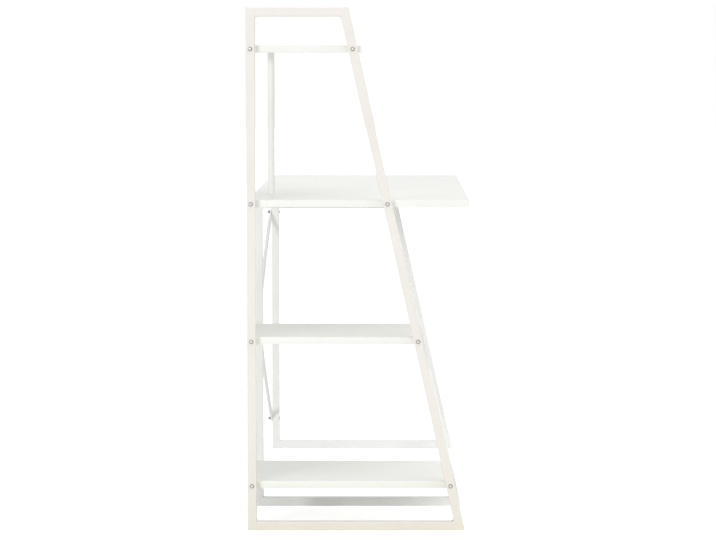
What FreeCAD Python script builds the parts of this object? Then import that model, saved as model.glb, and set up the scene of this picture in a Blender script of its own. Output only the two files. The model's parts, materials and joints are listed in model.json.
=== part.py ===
"""A computer desk with a shelf bay at its left end.

Three welded frames of square steel tube carry 16 mm boards. Seen from the side every frame is a
trapezoid with an upright rear post and a leaning front leg. The tall frame stands at the left end and
the two low frames stand under the desktop. Two flattened rods cross behind the low frames.

X runs from the tall frame to the right frame, Y from the user to the rear, Z up. The origin is on the
floor under the middle of the whole desk.
"""
import FreeCAD, Part
import math
import os
import Sketcher
from FreeCAD import Placement, Rotation, Vector

# Every length is in millimetres.
SIZES = {
    # Frames, all on the same lines seen from the side
    "overall_width": 1200.0,
    "bay_width": 290.0,
    "frame_height": 1175.0,
    "base_depth": 490.0,
    "top_depth": 228.0,
    "tube_side": 20.0,
    "tube_wall": 1.2,
    "tube_corner": 2.0,
    # Boards, their heights measured to the top face
    "board_thickness": 16.0,
    "band_thickness": 1.0,
    "desktop_height": 745.0,
    "desktop_depth": 500.0,
    "top_shelf_height": 1091.0,
    "top_shelf_depth": 254.0,
    "top_shelf_overhang": 10.0,
    "middle_shelf_height": 436.0,
    "bottom_shelf_height": 109.0,
    # Support post under the top shelf
    "post_diameter": 16.0,
    "post_wall": 1.2,
    "post_setback": 41.0,
    "plug_length": 14.0,
    "plug_clearance": 0.1,
    "stud_bite": 11.0,
    # Screws and bolts with domed heads and a hexagon socket
    "screw_diameter": 5.0,
    "head_diameter": 9.5,
    "head_crown": 5.5,
    "head_height": 2.8,
    "key_width": 3.0,
    "key_depth": 1.7,
    "hole_clearance": 0.25,
    "access_clearance": 0.75,
    "thread_clearance": 0.1,
    "frame_screw_bite": 20.0,
    "desktop_screw_bite": 10.0,
    "desktop_screw_setback": 270.0,
    # How much deeper a pilot bore is than the screw in it
    "bore_spare": 2.0,
    # Low-headed bolts through the right post, and their nuts behind the brace rods
    "low_head_height": 1.8,
    "low_head_key_depth": 1.2,
    "bolt_tip": 3.0,
    "nut_width": 8.0,
    "nut_height": 4.7,
    # Brace rods, flattened at both ends and where they cross
    "brace_top_height": 645.0,
    "brace_bottom_height": 82.0,
    "brace_joint_setback": 12.5,
    "rod_diameter": 10.0,
    "rod_flat_spot": 0.2,
    "end_flat_thickness": 4.0,
    "end_flat_width": 16.0,
    "end_flat_length": 16.0,
    "middle_flat_thickness": 5.0,
    "middle_flat_width": 14.0,
    "middle_flat_length": 24.0,
    "flare_length": 18.0,
    # Rivet where the rods cross
    "rivet_diameter": 5.0,
    "rivet_clearance": 0.1,
    "rivet_head_diameter": 9.0,
    "rivet_head_crown": 5.0,
    "rivet_head_height": 2.0,
    # How far a cutting shape reaches past what it cuts
    "overrun": 5.0,
}

# Sections along the round part of a rod, from each end of the rod to its middle
BAR_SECTIONS = 4


def make_sheet(doc):
    """The driving dimensions, one row each: name, then value."""
    sheet = doc.addObject("Spreadsheet::Sheet", "Sizes")
    for row, (name, value) in enumerate(SIZES.items(), start=1):
        sheet.set(f"A{row}", name)
        sheet.set(f"B{row}", str(value))
        sheet.setAlias(f"B{row}", name)
    doc.recompute()
    return sheet


DESK = FreeCAD.newDocument("desk")
SHEET = make_sheet(DESK)


class Size:
    """A length or an angle, as its number now and as the sheet formula that gives it."""

    def __init__(self, value, formula):
        self.value = value
        self.formula = formula

    def __add__(self, other):
        other = as_size(other)
        return Size(self.value + other.value, f"({self.formula} + {other.formula})")

    def __sub__(self, other):
        other = as_size(other)
        return Size(self.value - other.value, f"({self.formula} - {other.formula})")

    def __mul__(self, other):
        other = as_size(other)
        return Size(self.value * other.value, f"({self.formula} * {other.formula})")

    def __truediv__(self, other):
        other = as_size(other)
        return Size(self.value / other.value, f"({self.formula} / {other.formula})")

    def __neg__(self):
        return Size(-self.value, f"(-{self.formula})")


def as_size(number):
    """A plain number as a Size, and a Size as it is."""
    return number if isinstance(number, Size) else Size(float(number), str(number))


def size(name):
    """The sheet's value with this alias."""
    return Size(float(SHEET.get(name)), f"Sizes.{name}")


def sine(angle):
    return Size(math.sin(math.radians(angle.value)), f"sin({angle.formula})")


def cosine(angle):
    return Size(math.cos(math.radians(angle.value)), f"cos({angle.formula})")


def tangent(angle):
    return Size(math.tan(math.radians(angle.value)), f"tan({angle.formula})")


def arc_tangent(ratio):
    return Size(math.degrees(math.atan(ratio.value)), f"atan({ratio.formula})")


def root_of_squares(first, second):
    return Size(math.hypot(first.value, second.value), f"sqrt({first.formula}^2 + {second.formula}^2)")


def degrees(number):
    return Size(float(number), f"{number} deg")


# Sizes that several pieces share
TUBE = size("tube_side")
HALF_TUBE = TUBE / 2
BOARD = size("board_thickness")
BAND = size("band_thickness")
OVERRUN = size("overrun")
LEAN = arc_tangent((size("base_depth") - size("top_depth")) / size("frame_height"))
LOW_FRAME_HEIGHT = size("desktop_height") - BOARD
HOLE_DIAMETER = size("screw_diameter") + size("hole_clearance") * 2
THREAD_DIAMETER = size("screw_diameter") + size("thread_clearance") * 2
ACCESS_DIAMETER = size("head_diameter") + size("access_clearance") * 2

# Places across the desk, from the tall frame's outer face
REAR_REACH = size("brace_joint_setback") + size("middle_flat_thickness") / 2 + size("rod_diameter") / 2
LEFT = -(size("overall_width") - size("head_height")) / 2
REAR = (size("desktop_depth") - REAR_REACH) / 2
BAY_LEFT = LEFT + TUBE
MIDDLE_FRAME = BAY_LEFT + size("bay_width")
RIGHT_FRAME = LEFT + size("overall_width") - TUBE
POST_SPAN = size("overall_width") - size("bay_width") - TUBE * 2

# Heights of the screws in the middle of each board's edge
BOTTOM_SCREWS = size("bottom_shelf_height") - BOARD / 2
MIDDLE_SCREWS = size("middle_shelf_height") - BOARD / 2
DESKTOP_SCREWS = size("desktop_height") - BOARD / 2
TOP_SCREWS = size("top_shelf_height") - BOARD / 2


def leg_depth(height):
    """Distance from the rear plane to the front face of a leaning leg at this height."""
    return size("base_depth") - tangent(LEAN) * height


def leg_centre_depth(height):
    """Distance from the rear plane to the centre line of a leaning leg at this height."""
    return leg_depth(height) - HALF_TUBE / cosine(LEAN)


def bind(item, where, length):
    item.setExpression(where, length.formula)


def place(item, x, y, z, axis=None, angle=None):
    """Binds an object's place, and its turn about one axis, to the sheet."""
    if axis:
        item.Placement = Placement(Vector(), Rotation(axis, angle.value))
        bind(item, "Placement.Rotation.Angle", angle)
    bind(item, "Placement.Base.x", as_size(x))
    bind(item, "Placement.Base.y", as_size(y))
    bind(item, "Placement.Base.z", as_size(z))


def new_body(doc, name):
    body = doc.addObject("PartDesign::Body", name)
    body.Label = name
    return body


def new_sketch(body, role, name, offset=None):
    """A sketch on one of the body's own origin planes, or at an offset from it."""
    sketch = body.newObject("Sketcher::SketchObject", name)
    plane = next(item for item in body.Origin.OriginFeatures if item.Role == role)
    sketch.AttachmentSupport = [(plane, "")]
    sketch.MapMode = "FlatFace"
    if offset:
        bind(sketch, "AttachmentOffset.Base.z", offset)
    return sketch


def pin(sketch, geometry, end, x, y):
    """Fixes a point of the sketch at (x, y) from its origin."""
    for kind, axis, value in (("DistanceX", -2, as_size(x)), ("DistanceY", -1, as_size(y))):
        if value.value == 0:
            sketch.addConstraint(Sketcher.Constraint("PointOnObject", geometry, end, axis))
            continue
        ends = (-1, 1, geometry, end) if value.value > 0 else (geometry, end, -1, 1)
        length = value if value.value > 0 else -value
        index = sketch.addConstraint(Sketcher.Constraint(kind, *ends, length.value))
        bind(sketch, f"Constraints[{index}]", length)


def add_outline(sketch, points):
    """A closed outline of straight lines through the points."""
    points = [(as_size(x), as_size(y)) for x, y in points]
    first = sketch.GeometryCount
    corners = [Vector(x.value, y.value, 0) for x, y in points]
    for start, end in zip(corners, corners[1:] + corners[:1]):
        sketch.addGeometry(Part.LineSegment(start, end))
    for index, (x, y) in enumerate(points):
        following = first + (index + 1) % len(points)
        sketch.addConstraint(Sketcher.Constraint("Coincident", first + index, 2, following, 1))
        pin(sketch, first + index, 1, x, y)


def add_circle(sketch, x, y, diameter):
    x, y = as_size(x), as_size(y)
    circle = Part.Circle(Vector(x.value, y.value, 0), Vector(0, 0, 1), diameter.value / 2)
    index = sketch.addGeometry(circle)
    pin(sketch, index, 3, x, y)
    constraint = sketch.addConstraint(Sketcher.Constraint("Diameter", index, diameter.value))
    bind(sketch, f"Constraints[{constraint}]", diameter)


def add_rounded_rectangle(sketch, width, height, radius, centre_x=None):
    """A rectangle with rounded corners, about the sketch's origin or a point on its horizontal axis."""
    first = sketch.GeometryCount
    middle = Vector(centre_x.value if centre_x else 0, 0, 0)
    reach_x, reach_y = width.value / 2 - radius.value, height.value / 2 - radius.value
    corners = [Vector(reach_x, -reach_y, 0), Vector(reach_x, reach_y, 0),
               Vector(-reach_x, reach_y, 0), Vector(-reach_x, -reach_y, 0)]
    for quarter, corner in enumerate(corners):
        outward = Rotation(Vector(0, 0, 1), 90 * quarter).multVec(Vector(0, -radius.value, 0))
        start = middle + corners[quarter - 1] + outward
        sketch.addGeometry(Part.LineSegment(start, middle + corner + outward))
        begin = math.radians(90 * quarter - 90)
        circle = Part.Circle(middle + corner, Vector(0, 0, 1), radius.value)
        sketch.addGeometry(Part.ArcOfCircle(circle, begin, begin + math.pi / 2))
    for quarter in range(4):
        line = first + 2 * quarter
        following = first + (2 * quarter + 2) % 8
        direction = "Vertical" if quarter % 2 else "Horizontal"
        sketch.addConstraint(Sketcher.Constraint("Tangent", line, 2, line + 1, 1))
        sketch.addConstraint(Sketcher.Constraint("Tangent", line + 1, 2, following, 1))
        sketch.addConstraint(Sketcher.Constraint(direction, line))
        if quarter:
            sketch.addConstraint(Sketcher.Constraint("Equal", first + 1, line + 1))
    centre, centre_end = -1, 1
    if centre_x:
        centre, centre_end = sketch.addGeometry(Part.Point(middle), True), 1
        pin(sketch, centre, centre_end, centre_x, 0)
    sketch.addConstraint(Sketcher.Constraint("Symmetric", first, 1, first + 4, 1, centre, centre_end))
    for kind, start, end, length in (("DistanceX", first + 6, first + 2, width),
                                     ("DistanceY", first, first + 4, height)):
        index = sketch.addConstraint(Sketcher.Constraint(kind, start, 1, end, 1, length.value))
        bind(sketch, f"Constraints[{index}]", length)
    index = sketch.addConstraint(Sketcher.Constraint("Radius", first + 1, radius.value))
    bind(sketch, f"Constraints[{index}]", radius)


def add_end_trim(sketch, centre_x, radius, outward):
    """What lies outside a half circle about (centre_x, 0), on the side where outward points."""
    middle = Vector(centre_x.value, 0, 0)
    begin = math.pi / 2 if outward < 0 else -math.pi / 2
    circle = Part.Circle(middle, Vector(0, 0, 1), radius.value)
    arc = sketch.addGeometry(Part.ArcOfCircle(circle, begin, begin + math.pi))
    pin(sketch, arc, 3, centre_x, 0)
    sketch.addConstraint(Sketcher.Constraint("Vertical", arc, 1, arc, 3))
    sketch.addConstraint(Sketcher.Constraint("Vertical", arc, 2, arc, 3))
    index = sketch.addConstraint(Sketcher.Constraint("Radius", arc, radius.value))
    bind(sketch, f"Constraints[{index}]", radius)

    reach = radius + OVERRUN
    last = -1 if outward < 0 else 1
    far_x = centre_x + reach * outward
    points = [(centre_x, reach * last), (far_x, reach * last), (far_x, -reach * last), (centre_x, -reach * last)]
    starts = [middle + Vector(0, radius.value * last, 0)] + [Vector(x.value, y.value, 0) for x, y in points]
    ends = starts[1:] + [middle + Vector(0, -radius.value * last, 0)]
    lines = [sketch.addGeometry(Part.LineSegment(start, end)) for start, end in zip(starts, ends)]
    sketch.addConstraint(Sketcher.Constraint("Coincident", arc, 2, lines[0], 1))
    sketch.addConstraint(Sketcher.Constraint("Coincident", lines[-1], 2, arc, 1))
    for line, following, (x, y) in zip(lines, lines[1:], points):
        sketch.addConstraint(Sketcher.Constraint("Coincident", line, 2, following, 1))
        pin(sketch, line, 2, x, y)


def pad(body, sketch, length, name):
    feature = body.newObject("PartDesign::Pad", name)
    feature.Profile = sketch
    bind(feature, "Length", length)
    return feature


def pocket(body, sketch, length, name, both_ways=False, along_normal=False):
    """Cuts the sketch out of the body, and stops the build if nothing was cut."""
    body.Document.recompute()
    before = body.Shape.Volume
    feature = body.newObject("PartDesign::Pocket", name)
    feature.Profile = sketch
    feature.Midplane = both_ways
    feature.Reversed = along_normal
    bind(feature, "Length", length)
    body.Document.recompute()
    if body.Shape.Volume >= before:
        raise RuntimeError(f"{body.Label}: {name} cuts nothing")
    return feature


def drill(body, plane, distances, diameter, title, both_ways=True, along_normal=False):
    """Drills a row of holes along the middle of a tube, from a plane through its axis."""
    sketch = new_sketch(body, plane, title)
    for distance in distances:
        add_circle(sketch, 0, distance, diameter)
    pocket(body, sketch, TUBE, title + "_drilled", both_ways, along_normal)


def mitred_tube(doc, name, run, start_angle, end_angle, side_holes=(), cross_holes=(),
                cross_bore=HOLE_DIAMETER, inner_bore=None):
    """A square tube along its own Z, its outer side at +Y, mitred for the frame's two corners.

    side_holes go through it along X and cross_holes along Y, each given as a distance along the
    tube's outer side from the starting corner. inner_bore widens the cross holes in the inner side.
    """
    body = new_body(doc, name)
    section = new_sketch(body, "XY_Plane", "tube_section")
    inside = TUBE - size("tube_wall") * 2
    add_rounded_rectangle(section, TUBE, TUBE, size("tube_corner"))
    corner = inside / 2
    add_outline(section, [(-corner, -corner), (corner, -corner), (corner, corner), (-corner, corner)])
    pad(body, section, run, "tube_run")

    wide = TUBE + OVERRUN * 2
    mitres = new_sketch(body, "YZ_Plane", "mitres")
    for angle, end, inward in ((start_angle, as_size(0), 1), (end_angle, run, -1)):
        slope = Size(inward, str(inward)) / tangent(angle / 2)
        outer, inner = HALF_TUBE + OVERRUN, -(HALF_TUBE + OVERRUN)
        base = end - slope * OVERRUN
        add_outline(mitres, [(inner, base), (outer, base), (inner, base + slope * wide)])
    pocket(body, mitres, wide, "mitre_cuts", both_ways=True)

    if side_holes:
        drill(body, "YZ_Plane", side_holes, HOLE_DIAMETER, "side_holes")
    if cross_holes:
        drill(body, "XZ_Plane", cross_holes, cross_bore, "cross_holes")
    if inner_bore:
        drill(body, "XZ_Plane", cross_holes, inner_bore, "access_holes", both_ways=False, along_normal=True)
    return body


def make_frame(doc, title, left, height, side_heights, brace_heights=(), bar_setbacks=(),
               brace_bore=HOLE_DIAMETER):
    """One welded trapezoid frame, as its four tubes in the order of the weld."""
    centre = left + HALF_TUBE
    top_depth = leg_depth(height)
    square, blunt, sharp = degrees(90), degrees(90) + LEAN, degrees(90) - LEAN
    across = Vector(1, 0, 0)

    leg_run = height / cosine(LEAN)
    leg_holes = [(height - level - HALF_TUBE * sine(LEAN)) / cosine(LEAN) for level in side_heights]

    post = mitred_tube(doc, f"{title}_rear_post", height, square, square, side_heights, brace_heights,
                       brace_bore)
    place(post, centre, REAR - HALF_TUBE, 0)

    bar = mitred_tube(doc, f"{title}_top_bar", top_depth, square, blunt, cross_holes=bar_setbacks,
                      inner_bore=ACCESS_DIAMETER if bar_setbacks else None)
    place(bar, centre, REAR, height - HALF_TUBE, across, square)

    leg = mitred_tube(doc, f"{title}_front_leg", leg_run, blunt, sharp, leg_holes)
    inset_y = HALF_TUBE * cosine(LEAN)
    inset_z = HALF_TUBE * sine(LEAN)
    place(leg, centre, REAR - top_depth + inset_y, height - inset_z, across, degrees(180) - LEAN)

    foot = mitred_tube(doc, f"{title}_bottom_bar", size("base_depth"), sharp, square)
    place(foot, centre, REAR - size("base_depth"), HALF_TUBE, across, degrees(270))
    return [post, bar, leg, foot]


def make_board(doc, name, left, width, depth, top, left_bores=(), right_bores=(), under_bores=(), through=()):
    """A board with its four edge strips, bored for the screws in its ends and its underside.

    End bores are distances from the rear edge. Under bores and through holes are pairs: distance from
    the left end, then from the rear edge.
    """
    end_depth = size("frame_screw_bite") + size("bore_spare")
    under_depth = size("desktop_screw_bite") + size("bore_spare")
    body = new_body(doc, name)
    panel = new_sketch(body, "XY_Plane", "panel")
    add_outline(panel, [(BAND, -BAND), (width - BAND, -BAND),
                        (width - BAND, BAND - depth), (BAND, BAND - depth)])
    pad(body, panel, BOARD, "panel_thickness")
    ends = (("left_bores", left_bores, as_size(0), True), ("right_bores", right_bores, width, False))
    for title, bores, plane_x, along_normal in ends:
        if bores:
            sketch = new_sketch(body, "YZ_Plane", title, plane_x)
            for setback in bores:
                add_circle(sketch, -setback, BOARD / 2, THREAD_DIAMETER)
            pocket(body, sketch, end_depth, title + "_drilled", along_normal=along_normal)
    below = (("under_bores", under_bores, THREAD_DIAMETER, under_depth),
             ("through_holes", through, HOLE_DIAMETER, BOARD + OVERRUN))
    for title, bores, diameter, reach in below:
        if bores:
            sketch = new_sketch(body, "XY_Plane", title)
            for across, setback in bores:
                add_circle(sketch, across, -setback, diameter)
            pocket(body, sketch, reach, title + "_drilled", along_normal=True)
    bottom = top - BOARD
    place(body, left, REAR, bottom)
    strips = make_edge_band(doc, name, width, depth, left_bores, right_bores)
    place(strips, left, REAR, bottom)
    return [body, strips]


def make_strip(doc, name, x, y, length, depth):
    strip = doc.addObject("Part::Box", name)
    bind(strip, "Length", length)
    bind(strip, "Width", depth)
    bind(strip, "Height", BOARD)
    place(strip, x, y, 0)
    return strip


def make_edge_band(doc, board_name, width, depth, left_bores, right_bores):
    """Four plastic strips round a board: the long two over its whole width, the ends between them."""
    between = depth - BAND * 2
    strips = [
        make_strip(doc, "rear_strip", 0, -BAND, width, BAND),
        make_strip(doc, "front_strip", 0, -depth, width, BAND),
    ]
    for side, x, bores in (("left", as_size(0), left_bores), ("right", width - BAND, right_bores)):
        strip = make_strip(doc, f"{side}_strip", x, BAND - depth, BAND, between)
        for setback in bores:
            drill = doc.addObject("Part::Cylinder", "strip_drill")
            bind(drill, "Radius", THREAD_DIAMETER / 2)
            bind(drill, "Height", BAND + OVERRUN * 2)
            place(drill, x - OVERRUN, -setback, BOARD / 2, Vector(0, 1, 0), degrees(90))
            holed = doc.addObject("Part::Cut", f"{side}_strip_drilled")
            holed.Base = strip
            holed.Tool = drill
            strip = holed
        strips.append(strip)
    band = doc.addObject("Part::Compound", f"{board_name}_edge_band")
    band.Label = f"{board_name}_edge_band"
    band.Links = strips
    return band


def turn(body, points):
    """Revolves a half profile about its vertical axis."""
    half = new_sketch(body, "XZ_Plane", "half_profile")
    add_outline(half, points)
    turned = body.newObject("PartDesign::Revolution", "turned")
    turned.Profile = half
    turned.ReferenceAxis = (half, ["V_Axis"])


def make_screw(doc, name, length, top=size("head_height"), key_depth=size("key_depth")):
    """A socket screw along its own Z: the head above the origin, top its height, the shank below."""
    body = new_body(doc, name)
    shank, head, crown = size("screw_diameter") / 2, size("head_diameter") / 2, size("head_crown") / 2
    turn(body, [(0, -length), (shank, -length), (shank, 0), (head, 0), (crown, top), (0, top)])
    socket = new_sketch(body, "XY_Plane", "socket", top)
    add_hexagon(socket, size("key_width"))
    pocket(body, socket, key_depth, "socket_cut")
    return body


def add_hexagon(sketch, across_flats):
    """A hexagon about the sketch's origin, two of its sides square to X."""
    half, corner = across_flats / 2, across_flats / cosine(degrees(30)) / 2
    low = corner / 2
    add_outline(sketch, [(half, -low), (half, low), (0, corner), (-half, low), (-half, -low), (0, -corner)])


def make_sleeve(doc, name, outside, inside, length):
    """A plain tube along its own Z, from the origin up."""
    body = new_body(doc, name)
    ring = new_sketch(body, "XY_Plane", "ring")
    add_circle(ring, 0, 0, outside)
    add_circle(ring, 0, 0, inside)
    pad(body, ring, length, "length")
    return body


def make_nut(doc, name):
    """A hexagon nut along its own Z, from the origin up."""
    body = new_body(doc, name)
    flats = new_sketch(body, "XY_Plane", "flats")
    add_hexagon(flats, size("nut_width"))
    add_circle(flats, 0, 0, THREAD_DIAMETER)
    pad(body, flats, size("nut_height"), "height")
    return body


def make_group(doc, name, master, places):
    """One node of separate copies of a fastener, each at its own place and turn."""
    copies = []
    for x, y, z, axis, angle in places:
        copy = doc.addObject("App::Link", f"{name}_copy")
        copy.LinkedObject = master
        copy.LinkTransform = True
        place(copy, x, y, z, axis, angle)
        copies.append(copy)
    group = doc.addObject("Part::Compound", name)
    group.Label = name
    group.Links = copies
    return group


def rod_sections(length, joint_setback):
    """Sections along one rod, each as its distance from the first bolt, setback, width and thickness."""
    flat, round_bar = size("end_flat_thickness"), size("rod_diameter")
    end = (flat / 2, size("end_flat_width"), flat)
    middle = (joint_setback, size("middle_flat_width"), size("middle_flat_thickness"))
    bar_start = size("end_flat_length") + size("flare_length")
    flat_start = length / 2 - size("middle_flat_length") / 2
    bar_run = flat_start - size("flare_length") - bar_start

    sections = [(-size("end_flat_width") / 2, *end), (size("end_flat_length"), *end)]
    for step in range(BAR_SECTIONS):
        distance = bar_start + bar_run * step / (BAR_SECTIONS - 1)
        share = distance / length
        setback = end[0] + (joint_setback - end[0]) * 4 * share * (Size(1, "1") - share)
        sections.append((distance, setback, round_bar, round_bar))
    sections.append((flat_start, *middle))
    mirrored = [(length - distance, *rest) for distance, *rest in reversed(sections)]
    return sections + mirrored


def make_brace_rod(doc, name, start_height, end_height, joint_setback):
    """A bowed round rod along its own X, flattened and drilled at both ends and at its middle."""
    body = new_body(doc, name)
    rise = end_height - start_height
    length = root_of_squares(POST_SPAN, rise)
    sketches = []
    for number, (distance, setback, width, thickness) in enumerate(rod_sections(length, joint_setback)):
        sketch = new_sketch(body, "YZ_Plane", f"section_{number}", distance)
        edge_round = (thickness - size("rod_flat_spot")) / 2
        add_rounded_rectangle(sketch, thickness, width, edge_round, setback)
        sketches.append(sketch)
    rod = body.newObject("PartDesign::AdditiveLoft", "rod")
    rod.Profile = sketches[0]
    rod.Sections = sketches[1:]
    rod.Ruled = True

    through = REAR_REACH * 2 + OVERRUN
    ends = new_sketch(body, "XZ_Plane", "round_ends")
    add_end_trim(ends, as_size(0), size("end_flat_width") / 2, -1)
    add_end_trim(ends, length, size("end_flat_width") / 2, 1)
    pocket(body, ends, through, "ends_rounded", both_ways=True)
    holes = new_sketch(body, "XZ_Plane", "holes")
    add_circle(holes, 0, 0, HOLE_DIAMETER)
    add_circle(holes, length / 2, 0, size("rivet_diameter") + size("rivet_clearance") * 2)
    add_circle(holes, length, 0, HOLE_DIAMETER)
    pocket(body, holes, through, "holes_drilled", both_ways=True)

    place(body, MIDDLE_FRAME + HALF_TUBE, REAR, start_height, Vector(0, 1, 0), -arc_tangent(rise / POST_SPAN))
    return body


def make_rivet(doc, name):
    """A rivet along its own Z, its middle at the origin, with a low head at each end."""
    body = new_body(doc, name)
    shank, head = size("rivet_diameter") / 2, size("rivet_head_diameter") / 2
    crown = size("rivet_head_crown") / 2
    grip = size("middle_flat_thickness")
    top = grip + size("rivet_head_height")
    turn(body, [(0, -top), (crown, -top), (head, -grip), (shank, -grip),
                (shank, grip), (head, grip), (crown, top), (0, top)])
    return body


def make_frames(doc):
    """The tall frame and the two low ones, drilled for their boards and for the brace."""
    shelf_heights = [BOTTOM_SCREWS, MIDDLE_SCREWS]
    brace_heights = [size("brace_bottom_height"), size("brace_top_height")]
    bar_setbacks = [size("post_setback"), size("desktop_screw_setback")]
    tall = make_frame(doc, "tall_frame", LEFT, size("frame_height"),
                      shelf_heights + [DESKTOP_SCREWS, TOP_SCREWS])
    middle = make_frame(doc, "middle_frame", MIDDLE_FRAME, LOW_FRAME_HEIGHT,
                        shelf_heights, brace_heights, bar_setbacks, THREAD_DIAMETER)
    right = make_frame(doc, "right_frame", RIGHT_FRAME, LOW_FRAME_HEIGHT,
                       [], brace_heights, bar_setbacks)
    return tall + middle + right


def make_boards(doc):
    """The desktop and the three shelves of the bay, the shelves as deep as the leg at their top face."""
    boards = []
    for name, top, level in (("bottom_shelf", size("bottom_shelf_height"), BOTTOM_SCREWS),
                             ("middle_shelf", size("middle_shelf_height"), MIDDLE_SCREWS)):
        bores = [HALF_TUBE, leg_centre_depth(level)]
        boards += make_board(doc, name, BAY_LEFT, size("bay_width"), leg_depth(top), top, bores, bores)

    rear_under, front_under = size("post_setback"), size("desktop_screw_setback")
    over_middle = MIDDLE_FRAME + HALF_TUBE - BAY_LEFT
    over_right = RIGHT_FRAME + HALF_TUBE - BAY_LEFT
    boards += make_board(
        doc, "desktop", BAY_LEFT, size("overall_width") - TUBE, size("desktop_depth"), size("desktop_height"),
        left_bores=[HALF_TUBE, leg_centre_depth(DESKTOP_SCREWS)],
        under_bores=[(over_middle, front_under), (over_right, rear_under), (over_right, front_under)],
        through=[(over_middle, rear_under)])

    shelf_width = size("bay_width") + TUBE + size("top_shelf_overhang")
    boards += make_board(
        doc, "top_shelf", BAY_LEFT, shelf_width, size("top_shelf_depth"), size("top_shelf_height"),
        left_bores=[HALF_TUBE, leg_centre_depth(TOP_SCREWS)],
        under_bores=[(over_middle, size("post_setback"))])
    return boards


def make_post(doc):
    """The round post between the desktop and the top shelf, with what fastens it at both ends."""
    x, y = MIDDLE_FRAME + HALF_TUBE, REAR - size("post_setback")
    bottom, top = size("desktop_height"), size("top_shelf_height") - BOARD
    inside = size("post_diameter") - size("post_wall") * 2
    plug_length = size("plug_length")

    tube = make_sleeve(doc, "support_post", size("post_diameter"), inside, top - bottom)
    place(tube, x, y, bottom)

    plug = make_sleeve(doc, "plug", inside - size("plug_clearance") * 2, THREAD_DIAMETER, plug_length)
    upright = Vector(0, 0, 1)
    plugs = make_group(doc, "support_post_plugs", plug, [(x, y, bottom, upright, degrees(0)),
                                                         (x, y, top - plug_length, upright, degrees(0))])

    bolt = make_screw(doc, "support_post_bolt", size("tube_wall") + BOARD + plug_length)
    place(bolt, x, y, bottom - BOARD - size("tube_wall"), Vector(1, 0, 0), degrees(180))

    stud = new_body(doc, "support_post_stud")
    rod = new_sketch(stud, "XY_Plane", "rod")
    add_circle(rod, 0, 0, size("screw_diameter"))
    pad(stud, rod, plug_length + size("stud_bite"), "length")
    place(stud, x, y, top - plug_length)
    return [tube, plugs, bolt, stud]


def make_screws(doc):
    """The screws into the boards: through both walls of a post or leg, or from inside a top bar."""
    rear, y_axis, x_axis = REAR - HALF_TUBE, Vector(0, 1, 0), Vector(1, 0, 0)
    side_screw = make_screw(doc, "side_screw", TUBE + size("frame_screw_bite"))
    tall = [(LEFT, y, level, y_axis, degrees(-90))
            for level in (BOTTOM_SCREWS, MIDDLE_SCREWS, DESKTOP_SCREWS, TOP_SCREWS)
            for y in (rear, REAR - leg_centre_depth(level))]
    middle = [(MIDDLE_FRAME + TUBE, y, level, y_axis, degrees(90))
              for level in (BOTTOM_SCREWS, MIDDLE_SCREWS)
              for y in (rear, REAR - leg_centre_depth(level))]

    desktop_screw = make_screw(doc, "desktop_screw", size("tube_wall") + size("desktop_screw_bite"))
    over_middle, over_right = MIDDLE_FRAME + HALF_TUBE, RIGHT_FRAME + HALF_TUBE
    rear_y, front_y = REAR - size("post_setback"), REAR - size("desktop_screw_setback")
    upward = [(x, y, LOW_FRAME_HEIGHT - size("tube_wall"), x_axis, degrees(180))
              for x, y in ((over_middle, front_y), (over_right, rear_y), (over_right, front_y))]
    return [
        make_group(doc, "tall_frame_screws", side_screw, tall),
        make_group(doc, "middle_frame_screws", side_screw, middle),
        make_group(doc, "desktop_screws", desktop_screw, upward),
    ]


def make_brace(doc):
    """The two crossed rods behind the low frames, with their rivet and what fastens their ends.

    At the middle post screws go in from behind and end in the post. At the right post bolts come
    through from the front, into nuts behind the rods.
    """
    low, high = size("brace_bottom_height"), size("brace_top_height")
    middle, right = MIDDLE_FRAME + HALF_TUBE, RIGHT_FRAME + HALF_TUBE
    flat, nut_height = size("end_flat_thickness"), size("nut_height")
    x_axis, forward, backward = Vector(1, 0, 0), degrees(90), degrees(-90)

    joint, half_flat = size("brace_joint_setback"), size("middle_flat_thickness") / 2
    rising = make_brace_rod(doc, "rising_brace_rod", low, high, joint + half_flat)
    falling = make_brace_rod(doc, "falling_brace_rod", high, low, joint - half_flat)

    screw = make_screw(doc, "brace_screw", flat + TUBE)
    bolt = make_screw(doc, "brace_bolt", TUBE + flat + nut_height + size("bolt_tip"),
                      size("low_head_height"), size("low_head_key_depth"))
    nut = make_nut(doc, "brace_nut")
    heights = (low, high)
    screws = make_group(doc, "middle_brace_screws", screw,
                        [(middle, REAR + flat, z, x_axis, backward) for z in heights])
    bolts = make_group(doc, "brace_bolts", bolt, [(right, REAR - TUBE, z, x_axis, forward) for z in heights])
    nuts = make_group(doc, "brace_nuts", nut, [(right, REAR + flat, z, x_axis, backward) for z in heights])

    rivet = make_rivet(doc, "brace_rivet")
    place(rivet, (middle + right) / 2, REAR + size("brace_joint_setback"), (low + high) / 2,
          x_axis, backward)
    return [rising, falling, screws, bolts, nuts, rivet]


def check(doc, pieces):
    """Stops the build if any object failed, or if any piece is empty or broken."""
    for item in doc.Objects:
        if "Invalid" in item.State or "Error" in item.State:
            raise RuntimeError(f"{item.Label} failed: {item.State}")
    for piece in pieces:
        if piece.Shape.isNull() or not piece.Shape.isValid():
            raise RuntimeError(f"{piece.Label} has no valid shape")


def main():
    pieces = make_frames(DESK) + make_boards(DESK) + make_post(DESK) + make_screws(DESK) + make_brace(DESK)
    DESK.recompute()
    check(DESK, pieces)
    os.makedirs("parts", exist_ok=True)
    for piece in pieces:
        piece.Shape.exportStep(f"parts/{piece.Label}.step")
        print(piece.Label, len(piece.Shape.Solids), "solid(s)", round(piece.Shape.Volume), "mm3")


main()
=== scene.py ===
import json
import math

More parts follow.
